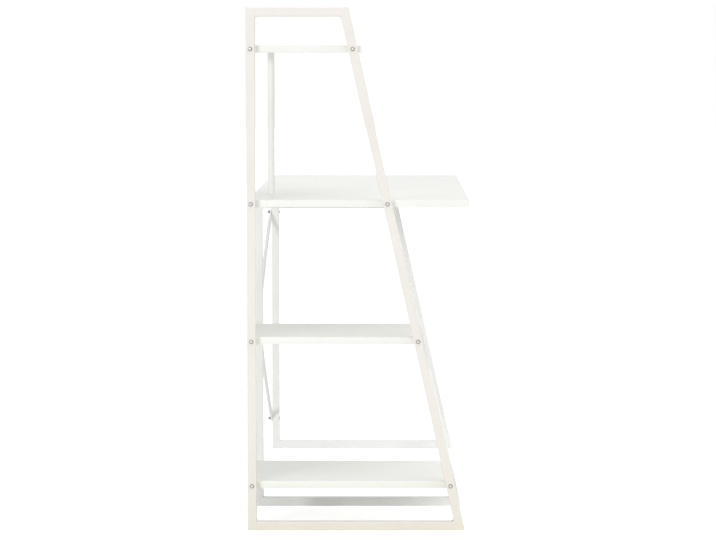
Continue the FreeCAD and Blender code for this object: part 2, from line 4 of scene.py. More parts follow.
import bmesh
import bpy
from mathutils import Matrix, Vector


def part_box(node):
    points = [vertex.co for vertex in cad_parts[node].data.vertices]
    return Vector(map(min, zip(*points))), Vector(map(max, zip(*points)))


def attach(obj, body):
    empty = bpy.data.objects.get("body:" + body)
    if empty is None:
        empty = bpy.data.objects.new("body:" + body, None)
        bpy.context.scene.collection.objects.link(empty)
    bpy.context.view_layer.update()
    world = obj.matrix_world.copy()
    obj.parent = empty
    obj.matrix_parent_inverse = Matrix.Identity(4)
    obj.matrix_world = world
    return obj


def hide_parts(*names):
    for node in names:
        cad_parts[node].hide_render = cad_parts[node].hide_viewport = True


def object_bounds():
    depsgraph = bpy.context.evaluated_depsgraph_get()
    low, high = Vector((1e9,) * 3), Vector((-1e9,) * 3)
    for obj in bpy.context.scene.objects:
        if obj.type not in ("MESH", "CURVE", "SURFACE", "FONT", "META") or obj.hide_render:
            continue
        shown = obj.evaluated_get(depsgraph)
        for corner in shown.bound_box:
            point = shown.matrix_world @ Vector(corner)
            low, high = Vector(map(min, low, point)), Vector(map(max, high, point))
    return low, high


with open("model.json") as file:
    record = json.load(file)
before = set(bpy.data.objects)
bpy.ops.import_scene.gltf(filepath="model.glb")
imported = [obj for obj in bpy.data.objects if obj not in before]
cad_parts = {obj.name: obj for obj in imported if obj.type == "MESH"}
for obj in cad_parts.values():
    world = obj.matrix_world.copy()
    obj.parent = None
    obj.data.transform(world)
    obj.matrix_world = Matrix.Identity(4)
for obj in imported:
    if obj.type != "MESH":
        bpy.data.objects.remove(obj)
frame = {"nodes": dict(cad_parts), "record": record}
CAD_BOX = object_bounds()
MM = 0.001
SHARP_ANGLE = math.radians(32)
# Points nearer than this are one point, in a mesh made here and in a CAD node
MERGE_DISTANCE = 0.004 * MM
CAD_MERGE_DISTANCE = 0.001 * MM


# Helpers

def linear(code):
    """An sRGB hex value as linear red, green, blue and alpha."""
    channels = [int(code[i:i + 2], 16) / 255 for i in (1, 3, 5)]
    return [c / 12.92 if c <= 0.04045 else ((c + 0.055) / 1.055) ** 2.4 for c in channels] + [1.0]


def add(tree, kind, inputs=None, **settings):
    """Adds a node with its settings. An input is a value, or the socket that it is linked from."""
    node = tree.nodes.new(kind)
    for name, value in settings.items():
        setattr(node, name, value)
    for key, value in (inputs or {}).items():
        if isinstance(value, bpy.types.NodeSocket):
            tree.links.new(value, node.inputs[key])
        else:
            node.inputs[key].default_value = value
    return node


def new_material(name):
    material = bpy.data.materials.new(name)
    material.use_nodes = True
    material.node_tree.nodes.clear()
    return material, material.node_tree


def new_piece(name, mesh, slot, stands_for=()):
    """Makes a mesh a piece of the desk, in the finish of a record's slot."""
    mesh.materials.clear()
    mesh.materials.append(FINISH[slot])
    mesh.shade_smooth()
    mesh.set_sharp_from_angle(angle=SHARP_ANGLE)
    return ride(name, mesh, stands_for)


def ride(name, mesh, stands_for):
    """Puts a finished mesh on the desk, in place of the CAD nodes that it stands for."""
    piece = bpy.data.objects.new(name, mesh)
    bpy.context.scene.collection.objects.link(piece)
    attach(piece, "root")
    if stands_for:
        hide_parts(*stands_for)
    return piece


def skin(name, rings, closed=False):
    """A mesh of quads between rings of points. Open rows of rings get an end face at each end."""
    count = len(rings[0])
    faces = []
    for row in range(len(rings) if closed else len(rings) - 1):
        for i in range(count):
            j = (i + 1) % count
            after = (row + 1) % len(rings)
            faces.append((row * count + i, row * count + j, after * count + j, after * count + i))
    if not closed:
        faces.append(tuple(reversed(range(count))))
        faces.append(tuple((len(rings) - 1) * count + i for i in range(count)))
    mesh = bpy.data.meshes.new(name)
    mesh.from_pydata([point for ring in rings for point in ring], [], faces)
    tidy(mesh)
    return mesh


def tidy(mesh):
    """Merges doubled points and turns every face outwards."""
    shape = bmesh.new()
    shape.from_mesh(mesh)
    bmesh.ops.remove_doubles(shape, verts=shape.verts, dist=MERGE_DISTANCE)
    bmesh.ops.recalc_face_normals(shape, faces=shape.faces)
    shape.to_mesh(mesh)
    shape.free()


def joined(name, meshes):
    """One mesh that holds several."""
    shape = bmesh.new()
    for mesh in meshes:
        shape.from_mesh(mesh)
    whole = bpy.data.meshes.new(name)
    shape.to_mesh(whole)
    shape.free()
    return whole


def separate_solids(node):
    """The lowest and highest corner of each separate solid in a CAD node, in a steady order."""
    shape = bmesh.new()
    shape.from_mesh(frame["nodes"][node].data)
    bmesh.ops.remove_doubles(shape, verts=shape.verts, dist=CAD_MERGE_DISTANCE)
    waiting = set(shape.verts)
    boxes = []
    while waiting:
        reached = [waiting.pop()]
        for vertex in reached:
            for edge in vertex.link_edges:
                other = edge.other_vert(vertex)
                if other in waiting:
                    waiting.remove(other)
                    reached.append(other)
        low = Vector([min(v.co[i] for v in reached) for i in range(3)])
        high = Vector([max(v.co[i] for v in reached) for i in range(3)])
        boxes.append((low, high))
    shape.free()
    return sorted(boxes, key=lambda box: tuple(round(c, 4) for c in box[0]))


# Finishes

# The colour sockets of a Mix node, which share their names with its other sockets
COLOUR_A, COLOUR_B, MIXED = 6, 7, 2

# The tall frame's end of the desk, where a warmer tint is painted warm light on the frame: how far in
# from the left
WARM_LIGHT_FULL_TO, WARM_LIGHT_GONE_FROM = 30 * MM, 100 * MM


def sprayed_or_pressed(name, tint, cloud_tint, cloud_mm, grain_mm, relief_mm, roughness, swing,
                       warm_light_tint="#FFFFFF"):
    """A white surface with faint clouds of colour and a fine even grain in its relief and gloss.

    At the tall frame's end the colour is multiplied by a warm tint, painted light that stands in for
    warmer light falling there.
    """
    material, tree = new_material(name)
    place = add(tree, "ShaderNodeTexCoord").outputs["Object"]
    clouds = add(tree, "ShaderNodeTexNoise", {
        "Vector": place, "Scale": 1 / (cloud_mm * MM), "Detail": 3.0})
    grain = add(tree, "ShaderNodeTexNoise", {
        "Vector": place, "Scale": 1 / (grain_mm * MM), "Detail": 2.0})
    share = add(tree, "ShaderNodeMapRange", {
        "Value": clouds.outputs["Fac"], "From Min": 0.35, "From Max": 0.65})
    colour = add(tree, "ShaderNodeMix", {
        "Factor": share.outputs["Result"], COLOUR_A: linear(tint), COLOUR_B: linear(cloud_tint)},
        data_type="RGBA")
    # Painted warm light: the colour turns warmer towards the tall frame's end, as if warmer light fell
    # there.
    across = add(tree, "ShaderNodeSeparateXYZ", {0: place})
    warm_light_share = add(tree, "ShaderNodeMapRange", {
        "Value": across.outputs["X"], "From Min": CAD_BOX[0][0] + WARM_LIGHT_FULL_TO,
        "From Max": CAD_BOX[0][0] + WARM_LIGHT_GONE_FROM, "To Min": 1.0, "To Max": 0.0})
    warm_lit = add(tree, "ShaderNodeMix", {
        "Factor": warm_light_share.outputs["Result"], COLOUR_A: colour.outputs[MIXED],
        COLOUR_B: linear(warm_light_tint)}, data_type="RGBA", blend_type="MULTIPLY")
    gloss = add(tree, "ShaderNodeMapRange", {
        "Value": grain.outputs["Fac"], "From Min": 0.3, "From Max": 0.7,
        "To Min": roughness - swing, "To Max": roughness + swing})
    relief = add(tree, "ShaderNodeBump", {
        "Height": grain.outputs["Fac"], "Strength": 1.0, "Distance": relief_mm * MM})
    shader = add(tree, "ShaderNodeBsdfPrincipled", {
        "Base Color": warm_lit.outputs[MIXED], "IOR": 1.5, "Roughness": gloss.outputs["Result"],
        "Normal": relief.outputs["Normal"]})
    add(tree, "ShaderNodeOutputMaterial", {"Surface": shader.outputs["BSDF"]})
    return material


def zinc_plate(name, tint, stain, highlight_tint, stain_mm, scratch_mm, roughness, swing):
    """Plated steel: a metal with dull stains and fine tumbling scratches, and a highlight painted where
    the mesh marks it.
    """
    material, tree = new_material(name)
    place = add(tree, "ShaderNodeTexCoord").outputs["Object"]
    stains = add(tree, "ShaderNodeTexNoise", {
        "Vector": place, "Scale": 1 / (stain_mm * MM), "Detail": 4.0})
    scratch = add(tree, "ShaderNodeTexNoise", {
        "Vector": place, "Scale": 1 / (scratch_mm * MM), "Detail": 3.0, "Distortion": 1.5})
    share = add(tree, "ShaderNodeMapRange", {
        "Value": stains.outputs["Fac"], "From Min": 0.4, "From Max": 0.65})
    plate = add(tree, "ShaderNodeMix", {
        "Factor": share.outputs["Result"], COLOUR_A: linear(tint), COLOUR_B: linear(stain)},
        data_type="RGBA")
    # Painted highlight: faces that the mesh marks take the bright tint.
    painted_highlight = add(tree, "ShaderNodeAttribute", attribute_name="painted_highlight")
    colour = add(tree, "ShaderNodeMix", {
        "Factor": painted_highlight.outputs["Fac"], COLOUR_A: plate.outputs[MIXED],
        COLOUR_B: linear(highlight_tint)}, data_type="RGBA")
    gloss = add(tree, "ShaderNodeMapRange", {
        "Value": scratch.outputs["Fac"], "From Min": 0.3, "From Max": 0.7,
        "To Min": roughness - swing, "To Max": roughness + swing})
    relief = add(tree, "ShaderNodeBump", {
        "Height": scratch.outputs["Fac"], "Strength": 0.6, "Distance": 0.01 * MM})
    shader = add(tree, "ShaderNodeBsdfPrincipled", {
        "Base Color": colour.outputs[MIXED], "Metallic": 1.0,
        "Roughness": gloss.outputs["Result"], "Normal": relief.outputs["Normal"]})
    add(tree, "ShaderNodeOutputMaterial", {"Surface": shader.outputs["BSDF"]})
    return material


FINISH = {
    # Polyester powder coat, sprayed on and baked: satin white with the faint orange peel of such
    # coats, and a warmer tint on the tall frame, which is painted warm light.
    "frame_paint": sprayed_or_pressed(
        "powder_coat_white", "#F7F7F5", "#F4F4F1", cloud_mm=120, grain_mm=1.8, relief_mm=0.02,
        roughness=0.42, swing=0.05, warm_light_tint="#F8F4F0"),
    # Melamine paper pressed onto chipboard: cool white and even, with a pearl grain that breaks the
    # gloss. The real grain of about 0.4 mm is drawn at 1.2 mm, so that it shows.
    "board_laminate": sprayed_or_pressed(
        "melamine_cool_white", "#F7F8F3", "#F4F5F0", cloud_mm=160, grain_mm=1.2, relief_mm=0.012,
        roughness=0.38, swing=0.06),
    # ABS strip, extruded and glued on: the board's white, a little smoother, with slow waves.
    "edge_band": sprayed_or_pressed(
        "abs_edge_band_white", "#F7F8F3", "#F5F6F1", cloud_mm=90, grain_mm=2.5, relief_mm=0.006,
        roughness=0.32, swing=0.04),
    # Zinc plate over cold headed screws: dull grey and handled, with a highlight painted on the crown
    # and in the socket. The scratches of about 0.1 mm are drawn at 0.5 mm, so that they show.
    "screw_steel": zinc_plate(
        "zinc_plated_screws", "#93928E", "#82817D", "#CFCEC9", stain_mm=2.5, scratch_mm=0.5,
        roughness=0.36, swing=0.08),
    # The same plate on nuts and turned parts, brighter because nothing rubs on it.
    "zinc_steel": zinc_plate(
        "zinc_plated_nuts", "#949594", "#838483", "#C9CAC9", stain_mm=2.5, scratch_mm=0.5,
        roughness=0.32, swing=0.08),
}
node_slot = {part["node"]: part["material_slot"] for part in frame["record"]["subparts"]}
for name, node in frame["nodes"].items():
    node.data.materials.clear()
    node.data.materials.append(FINISH[node_slot[name]])


# Boards: a core slab, and a band glued round its four edges with its rims trimmed round

RIM_RADIUS = 0.8 * MM
CORNER_RADIUS = 1.3 * MM
HAIRLINE = 0.12 * MM
ARC_STEPS = 5
QUARTER_TURN = math.pi / 2
ARC = [QUARTER_TURN * i / ARC_STEPS for i in range(ARC_STEPS + 1)]


def loop_round(low, high, inset, z, radius):
    """A level loop round a board's plan, set in from its outline, with rounded corners."""
    points = []
    for sign_x, sign_y, quarter in ((1, 1, 0), (-1, 1, 1), (-1, -1, 2), (1, -1, 3)):
        corner_x = high.x if sign_x > 0 else low.x
        corner_y = high.y if sign_y > 0 else low.y
        centre = Vector((corner_x - sign_x * radius, corner_y - sign_y * radius, z))
        for turn in ARC:
            angle = turn + quarter * QUARTER_TURN
            points.append(centre + (radius - inset) * Vector((math.cos(angle), math.sin(angle), 0)))
    return points


def dress_board(node):
    core_low, core_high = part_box(node)
    low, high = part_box(node + "_edge_band")
    band = core_low.x - low.x
    section = [(band, high.z - HAIRLINE)]
    section += [(RIM_RADIUS * (1 - math.sin(a)), high.z - RIM_RADIUS * (1 - math.cos(a)))
                for a in ARC]
    section += [(RIM_RADIUS * (1 - math.cos(a)), low.z + RIM_RADIUS * (1 - math.sin(a)))
                for a in ARC]
    section += [(band, low.z + HAIRLINE)]
    loops = [loop_round(low, high, inset, z, CORNER_RADIUS) for inset, z in section]
    strip = skin(node + "_band", loops, closed=True)
    new_piece(node + "_edge_band_trimmed", strip, "edge_band", [node + "_edge_band"])
    profile = [(HAIRLINE, low.z), (0, low.z + HAIRLINE), (0, high.z - HAIRLINE), (HAIRLINE, high.z)]
    loops = [loop_round(core_low, core_high, inset, z, CORNER_RADIUS - band) for inset, z in profile]
    new_piece(node + "_laminated", skin(node + "_slab", loops), "board_laminate", [node])


for name in ("bottom_shelf", "middle_shelf", "desktop", "top_shelf"):
    dress_board(name)


# Screws and nuts: a Geometry Nodes tree makes one and sets it at each point. Their sizes are in
# millimetres, and the tree turns them to metres.

FLOAT, VECTOR, INTEGER, MATERIAL = (
    "NodeSocketFloat", "NodeSocketVector", "NodeSocketInt", "NodeSocketMaterial")
# The number sockets of a Random Value node, which share their names with its other sockets
LEAST, MOST, CHANCE = 2, 3, 1


def new_tree(name, sizes):
    """A tree whose inputs are its points, its sizes, a seed for the turn of each part, and a finish."""
    tree = bpy.data.node_groups.new(name, "GeometryNodeTree")
    tree.interface.new_socket("Geometry", in_out="INPUT", socket_type="NodeSocketGeometry")
    for label, kind in sizes + [("Turn Seed", INTEGER), ("Finish", MATERIAL)]:
        tree.interface.new_socket(label, in_out="INPUT", socket_type=kind)
    tree.interface.new_socket("Geometry", in_out="OUTPUT", socket_type="NodeSocketGeometry")
    return tree, tree.nodes.new("NodeGroupInput").outputs


def finish_tree(tree, source, single):
    """Sets a single part at every point along its aim, turned by chance about its axis."""
    smooth = add(tree, "GeometryNodeSetShadeSmooth", {"Geometry": single, "Shade Smooth": True})
    bend = add(tree, "GeometryNodeInputMeshEdgeAngle")
    crisp = add(tree, "FunctionNodeCompare", {
        0: bend.outputs["Unsigned Angle"], 1: SHARP_ANGLE}, data_type="FLOAT", operation="GREATER_THAN")
    edges = add(tree, "GeometryNodeSetShadeSmooth", {
        "Geometry": smooth.outputs[0], "Selection": crisp.outputs[0], "Shade Smooth": False},
        domain="EDGE")
    aim = add(tree, "GeometryNodeInputNamedAttribute", {"Name": "aim"}, data_type="FLOAT_VECTOR")
    upright = add(tree, "FunctionNodeAlignRotationToVector", {"Vector": aim.outputs[0]}, axis="Z")
    spin = add(tree, "FunctionNodeRandomValue", {
        LEAST: 0.0, MOST: math.tau, "Seed": source["Turn Seed"]}, data_type="FLOAT")
    about = add(tree, "FunctionNodeAxisAngleToRotation", {
        "Axis": (0, 0, 1), "Angle": spin.outputs[CHANCE]})
    turned = add(tree, "FunctionNodeRotateRotation", {
        0: upright.outputs[0], 1: about.outputs[0]}, rotation_space="LOCAL")
    placed = add(tree, "GeometryNodeInstanceOnPoints", {
        "Points": source["Geometry"], "Instance": edges.outputs[0],
        "Rotation": turned.outputs[0], "Scale": (MM, MM, MM)})
    real = add(tree, "GeometryNodeRealizeInstances", {0: placed.outputs[0]})
    finish = add(tree, "GeometryNodeSetMaterial", {
        "Geometry": real.outputs[0], "Material": source["Finish"]})
    add(tree, "NodeGroupOutput", {0: finish.outputs[0]})


def socket_screw_tree():
    tree, size = new_tree("socket_screws", [
        ("Dome Stretch", VECTOR), ("Head Box", VECTOR), ("Head Middle", VECTOR),
        ("Crown Radius", FLOAT), ("Key Radius", FLOAT), ("Key Length", FLOAT), ("Key Place", VECTOR),
        ("Shank Radius", FLOAT), ("Plain Length", FLOAT), ("Plain Middle", VECTOR),
        ("Core Radius", FLOAT), ("Thread Length", FLOAT), ("Thread Middle", VECTOR),
        ("Helix Turns", FLOAT), ("Helix Rise", FLOAT), ("Helix Start", VECTOR),
        ("Ridge Radius", FLOAT)])
    # The head is the cap of an ellipsoid, as wide as the head at its seat and as the crown on top.
    ball = add(tree, "GeometryNodeMeshUVSphere", {"Segments": 48, "Rings": 40, "Radius": 1.0})
    dome = add(tree, "GeometryNodeTransform", {
        "Geometry": ball.outputs[0], "Scale": size["Dome Stretch"]})
    slab = add(tree, "GeometryNodeMeshCube", {"Size": size["Head Box"]})
    slab = add(tree, "GeometryNodeTransform", {
        "Geometry": slab.outputs[0], "Translation": size["Head Middle"]})
    head = add(tree, "GeometryNodeMeshBoolean", {1: dome.outputs[0]},
               operation="INTERSECT", solver="EXACT")
    tree.links.new(slab.outputs[0], head.inputs[1])
    key = add(tree, "GeometryNodeMeshCylinder", {
        "Vertices": 6, "Radius": size["Key Radius"], "Depth": size["Key Length"]})
    key = add(tree, "GeometryNodeTransform", {
        "Geometry": key.outputs[0], "Translation": size["Key Place"]})
    socketed = add(tree, "GeometryNodeMeshBoolean", {0: head.outputs[0], 1: key.outputs[0]},
                   operation="DIFFERENCE", solver="EXACT")
    # Painted highlight: the crown and the socket are marked to take a bright colour.
    place = add(tree, "GeometryNodeInputPosition")
    flat = add(tree, "ShaderNodeVectorMath", {0: place.outputs[0], 1: (1, 1, 0)},
               operation="MULTIPLY")
    off_axis = add(tree, "ShaderNodeVectorMath", {0: flat.outputs[0]}, operation="LENGTH")
    inside = add(tree, "ShaderNodeMath", {0: off_axis.outputs["Value"], 1: size["Crown Radius"]},
                 operation="LESS_THAN")
    painted_highlight = add(tree, "GeometryNodeStoreNamedAttribute", {
        "Geometry": socketed.outputs[0], "Name": "painted_highlight", "Value": inside.outputs[0]},
        data_type="FLOAT", domain="FACE")
    shank = add(tree, "GeometryNodeMeshCylinder", {
        "Vertices": 32, "Radius": size["Shank Radius"], "Depth": size["Plain Length"]})
    shank = add(tree, "GeometryNodeTransform", {
        "Geometry": shank.outputs[0], "Translation": size["Plain Middle"]})
    root = add(tree, "GeometryNodeMeshCylinder", {
        "Vertices": 32, "Radius": size["Core Radius"], "Depth": size["Thread Length"]})
    root = add(tree, "GeometryNodeTransform", {
        "Geometry": root.outputs[0], "Translation": size["Thread Middle"]})
    # The thread is a three-sided ridge along a helix that ends inside the plain shank and the tip.
    helix = add(tree, "GeometryNodeCurveSpiral", {
        "Resolution": 24, "Rotations": size["Helix Turns"], "Start Radius": size["Core Radius"],
        "End Radius": size["Core Radius"], "Height": size["Helix Rise"]})
    upright = add(tree, "GeometryNodeSetCurveNormal", {"Curve": helix.outputs[0]}, mode="Z_UP")
    ridge = add(tree, "GeometryNodeCurvePrimitiveCircle", {
        "Resolution": 3, "Radius": size["Ridge Radius"]}, mode="RADIUS")
    thread = add(tree, "GeometryNodeCurveToMesh", {
        "Curve": upright.outputs[0], "Profile Curve": ridge.outputs[0], "Fill Caps": True})
    thread = add(tree, "GeometryNodeTransform", {
        "Geometry": thread.outputs[0], "Translation": size["Helix Start"]})
    whole = add(tree, "GeometryNodeJoinGeometry")
    for part in (painted_highlight, shank, root, thread):
        tree.links.new(part.outputs[0], whole.inputs[0])
    finish_tree(tree, size, whole.outputs[0])
    return tree


def hex_nut_tree():
    tree, size = new_tree("hex_nuts", [
        ("Corner Radius", FLOAT), ("Height", FLOAT), ("Bore Radius", FLOAT), ("Bore Length", FLOAT),
        ("Chamfer Stretch", VECTOR)])
    prism = add(tree, "GeometryNodeMeshCylinder", {
        "Vertices": 6, "Depth": size["Height"], "Radius": size["Corner Radius"]})
    # An ellipsoid trims the corners at both ends, as the chamfer of a nut does.
    ball = add(tree, "GeometryNodeMeshUVSphere", {"Segments": 48, "Rings": 32, "Radius": 1.0})
    ball = add(tree, "GeometryNodeTransform", {
        "Geometry": ball.outputs[0], "Scale": size["Chamfer Stretch"]})
    body = add(tree, "GeometryNodeMeshBoolean", {1: prism.outputs[0]},
               operation="INTERSECT", solver="EXACT")
    tree.links.new(ball.outputs[0], body.inputs[1])
    drill = add(tree, "GeometryNodeMeshCylinder", {
        "Vertices": 32, "Depth": size["Bore Length"], "Radius": size["Bore Radius"]})
    bored = add(tree, "GeometryNodeMeshBoolean", {0: body.outputs[0], 1: drill.outputs[0]},
                operation="DIFFERENCE", solver="EXACT")
    finish_tree(tree, size, bored.outputs[0])
    return tree


def set_fasteners(name, tree, spots, slot, node, sizes, seed):
    """Runs a tree on points, each with the way that its part faces, and keeps the plain mesh."""
    points = bpy.data.meshes.new(name + "_points")
    points.from_pydata([place for place, aim in spots], [], [])
    aims = points.attributes.new("aim", "FLOAT_VECTOR", "POINT")
    for item, (place, aim) in zip(aims.data, spots):
        item.vector = aim
    carrier = bpy.data.objects.new(name + "_points", points)
    bpy.context.scene.collection.objects.link(carrier)
    modifier = carrier.modifiers.new("fasteners", "NODES")
    modifier.node_group = tree
    values = {**sizes, "Turn Seed": seed, "Finish": FINISH[slot]}
    for item in tree.interface.items_tree:
        if item.in_out == "INPUT" and item.name in values:
            modifier[item.identifier] = values[item.name]
    ready = carrier.evaluated_get(bpy.context.evaluated_depsgraph_get())
    mesh = bpy.data.meshes.new_from_object(ready)
    carrier.modifiers.remove(modifier)
    bpy.data.objects.remove(carrier)
    mesh.name = name
    ride(name, mesh, [node])


HEAD_WIDTH, CROWN_WIDTH, KEY_WIDTH = 9.5, 5.5, 3.0
SHANK_WIDTH, THREAD_DEPTH, THREAD_PITCH = 5.0, 0.5, 0.8
# The height of a head and the depth of its socket
DOMED_HEAD = (2.8, 1.7)
LOW_HEAD = (1.8, 1.2)


def screw_sizes(head_height, key_depth, length, thread_length):
    """What the screw tree asks for, from the screw's seat, for a shank of this length."""
    head_radius, crown_radius = HEAD_WIDTH / 2, CROWN_WIDTH / 2
    rise = head_height / math.sqrt(1 - (crown_radius / head_radius) ** 2)
    plain = length - thread_length
    return {
        "Dome Stretch": (head_radius, head_radius, rise),
        "Head Box": (HEAD_WIDTH, HEAD_WIDTH, head_height),
        "Head Middle": (0.0, 0.0, head_height / 2),
        "Crown Radius": crown_radius,
        "Key Radius": KEY_WIDTH / 2 / math.cos(math.pi / 6),
        "Key Length": key_depth * 2,
        "Key Place": (0.0, 0.0, head_height),
        "Shank Radius": SHANK_WIDTH / 2,
        "Plain Length": plain,
        "Plain Middle": (0.0, 0.0, -plain / 2),
        "Core Radius": SHANK_WIDTH / 2 - THREAD_DEPTH,
        "Thread Length": thread_length,
        "Thread Middle": (0.0, 0.0, -plain - thread_length / 2),
        "Helix Turns": thread_length / THREAD_PITCH - 1,
        "Helix Rise": thread_length - THREAD_PITCH,
        "Helix Start": (0.0, 0.0, THREAD_PITCH / 2 - length),
        "Ridge Radius": THREAD_DEPTH,
    }


def screw_spots(node, aim, head_height):
    """The seats of a CAD node's screws, whose heads face along aim, and their shanks' length."""
    aim = Vector(aim)
    axis = [abs(c) for c in aim].index(1)
    spots = []
    for low, high in separate_solids(node):
        seat = (low + high) / 2
        seat[axis] = (high[axis] if aim[axis] > 0 else low[axis]) - aim[axis] * head_height * MM
        spots.append((seat, aim))
        length = (high[axis] - low[axis]) / MM - head_height
    return spots, length


# Each node of screws, the way its heads face, its kind of head, and the length of its thread
SCREWS = (
    ("tall_frame_screws", (-1, 0, 0), DOMED_HEAD, 10.4),
    ("middle_frame_screws", (1, 0, 0), DOMED_HEAD, 10.4),
    ("desktop_screws", (0, 0, -1), DOMED_HEAD, 8.8),
    ("support_post_bolt", (0, 0, -1), DOMED_HEAD, 12.0),
    ("middle_brace_screws", (0, 1, 0), DOMED_HEAD, 5.6),
    ("brace_bolts", (0, -1, 0), LOW_HEAD, 12.0),
)
screw_tree = socket_screw_tree()
for seed, (node, aim, (head_height, key_depth), thread_length) in enumerate(SCREWS):
    spots, length = screw_spots(node, aim, head_height)
    set_fasteners(node + "_socket_head", screw_tree, spots, "screw_steel", node,
                  screw_sizes(head_height, key_depth, length, thread_length), seed)

nut_boxes = separate_solids("brace_nuts")
nut_sizes = {
    "Corner Radius": 4.62,
    "Height": (nut_boxes[0][1].y - nut_boxes[0][0].y) / MM,
    "Bore Radius": SHANK_WIDTH / 2,
    "Bore Length": 30.0,
    "Chamfer Stretch": (6.05, 6.05, 3.02),
}
nut_spots = [((low + high) / 2, (0, 1, 0)) for low, high in nut_boxes]
set_fasteners("brace_nuts_chamfered", hex_nut_tree(), nut_spots, "zinc_steel", "brace_nuts",
              nut_sizes, len(SCREWS) + 1)


# Rivet: a shank with a domed head at each end

RIVET_HEAD_HEIGHT = 2 * MM
RIVET_SHANK_RADIUS = 2.5 * MM
RIVET_SEGMENTS = 36
# The angle off the axis at which the dome ends in a small flat
RIVET_TIP = 0.03

rivet_low, rivet_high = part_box("brace_rivet")
rivet_radius = (rivet_high.x - rivet_low.x) / 2
rivet_centre = (rivet_low + rivet_high) / 2
half_length = (rivet_high.y - rivet_low.y) / 2
half_profile = [(rivet_radius * math.sin(a), half_length - RIVET_HEAD_HEIGHT * (1 - math.cos(a)))
                for a in [RIVET_TIP] + ARC[1:]]
half_profile.append((RIVET_SHANK_RADIUS, half_length - RIVET_HEAD_HEIGHT))
profile = half_profile + [(radius, -y) for radius, y in reversed(half_profile)]
turns = [math.tau * i / RIVET_SEGMENTS for i in range(RIVET_SEGMENTS)]
rings = [[rivet_centre + Vector((radius * math.cos(a), y, radius * math.sin(a))) for a in turns]
         for radius, y in profile]
new_piece("brace_rivet_domed", skin("brace_rivet_domed", rings), "zinc_steel", ["brace_rivet"])


# Welds: a slightly rippled fillet across the tube in each inner corner of the frames

WELD_ROWS = 18
WELD_STEPS = 6
# How far the fillet is hollowed, as a share of the way from its chord to its corner
WELD_HOLLOW = 0.38
# How far its corner is sunk into the tubes, and how far it stays in from their sides
WELD_SINK = 0.3 * MM
WELD_INSET = 0.6 * MM
# The ripples: their height as a share of the fillet's reach, how fast they follow each other across
# the tube, and their shift by seed
RIPPLES = ((0.05, 37, 1), (0.03, 71, 2))
LARGE_FACE = 500 * MM * MM


def leg_face(frame_name):
    """The leg's inner face, as its normal and one of its points.

    It is the rearmost of the leg's large flat faces that look to the rear.
    """
    mesh = frame["nodes"][frame_name + "_front_leg"].data
    flats = [(face.normal.copy(), mesh.vertices[face.vertices[0]].co.copy()) for face in mesh.polygons
             if abs(face.normal.x) < 0.01 and face.normal.y > 0.9 and face.area > LARGE_FACE]
    return max(flats, key=lambda flat: flat[0].dot(flat[1]))


def weld(corner, first, second, reach, left, right, seed):
    """A hollow fillet between two faces that leave a corner along first and second."""
    rings = []
    for row in range(WELD_ROWS + 1):
        share = row / WELD_ROWS
        swell = 1 + sum(height * math.sin(share * pace + shift * seed)
                        for height, pace, shift in RIPPLES)
        start, end = first * reach * swell, second * reach * swell
        hollow = (start + end) * 0.5 * WELD_HOLLOW
        ring = [-(first + second) * WELD_SINK]
        for step in range(WELD_STEPS + 1):
            t = step / WELD_STEPS
            ring.append(start.lerp(end, t) - hollow * (1 - (2 * t - 1) ** 2))
        x = left + (right - left) * share
        rings.append([Vector((x, corner.y + p.y, corner.z + p.z)) for p in ring])
    return skin("weld", rings)


def dress_welds(frame_name, reaches):
    """Fillets at the top rear, top front, bottom rear and bottom front corner, by their reach in mm."""
    post_low, post_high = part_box(frame_name + "_rear_post")
    rear = post_low.y
    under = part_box(frame_name + "_top_bar")[0].z
    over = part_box(frame_name + "_bottom_bar")[1].z
    normal, point = leg_face(frame_name)
    front_under, front_over = (point.y - normal.z / normal.y * (z - point.z) for z in (under, over))
    lean = math.atan2(-normal.z, normal.y)
    up_leg = Vector((0, math.sin(lean), math.cos(lean)))
    down, up, back, forth = (Vector(v) for v in ((0, 0, -1), (0, 0, 1), (0, 1, 0), (0, -1, 0)))
    corners = (
        (Vector((0, rear, under)), forth, down),
        (Vector((0, front_under, under)), back, -up_leg),
        (Vector((0, rear, over)), forth, up),
        (Vector((0, front_over, over)), back, up_leg),
    )
    left, right = post_low.x + WELD_INSET, post_high.x - WELD_INSET
    meshes = [weld(corner, first, second, reach * MM, left, right, seed)
              for seed, ((corner, first, second), reach) in enumerate(zip(corners, reaches))]
    new_piece(frame_name + "_welds", joined(frame_name + "_welds", meshes), "frame_paint")


dress_welds("tall_frame", (4.5, 7.0, 3.6, 5.5))
dress_welds("middle_frame", (4.0, 6.0, 3.6, 5.5))
dress_welds("right_frame", (4.0, 6.0, 3.6, 5.5))


# The studio

def soft_sun(name, way, strength, spread):
    """Even light that travels one way, softened by the angle in degrees that its source fills."""
    data = bpy.data.lights.new(name, "SUN")
    data.energy = strength * math.pi
    data.angle = math.radians(spread)
    lamp = bpy.data.objects.new(name, data)
    lamp.rotation_euler = Vector(way).to_track_quat("-Z", "Y").to_euler()
    bpy.context.scene.collection.objects.link(lamp)


soft_sun("key_light", (1, -0.5, -0.25), strength=0.27, spread=12)
soft_sun("top_light", (0.3, 0.38, -0.87), strength=0.42, spread=70)


def seen_directly(tree):
    """1 for what the camera sees straight or in a gloss or a glass, and 0 for light on the object."""
    ray = add(tree, "ShaderNodeLightPath")
    either = add(tree, "ShaderNodeMath", {
        0: ray.outputs["Is Camera Ray"], 1: ray.outputs["Is Glossy Ray"]}, operation="MAXIMUM")
    return add(tree, "ShaderNodeMath", {
        0: either.outputs[0], 1: ray.outputs["Is Transmission Ray"]}, operation="MAXIMUM").outputs[0]


WORLD_LIGHT = 0.48
WORLD_SEEN = 1.0

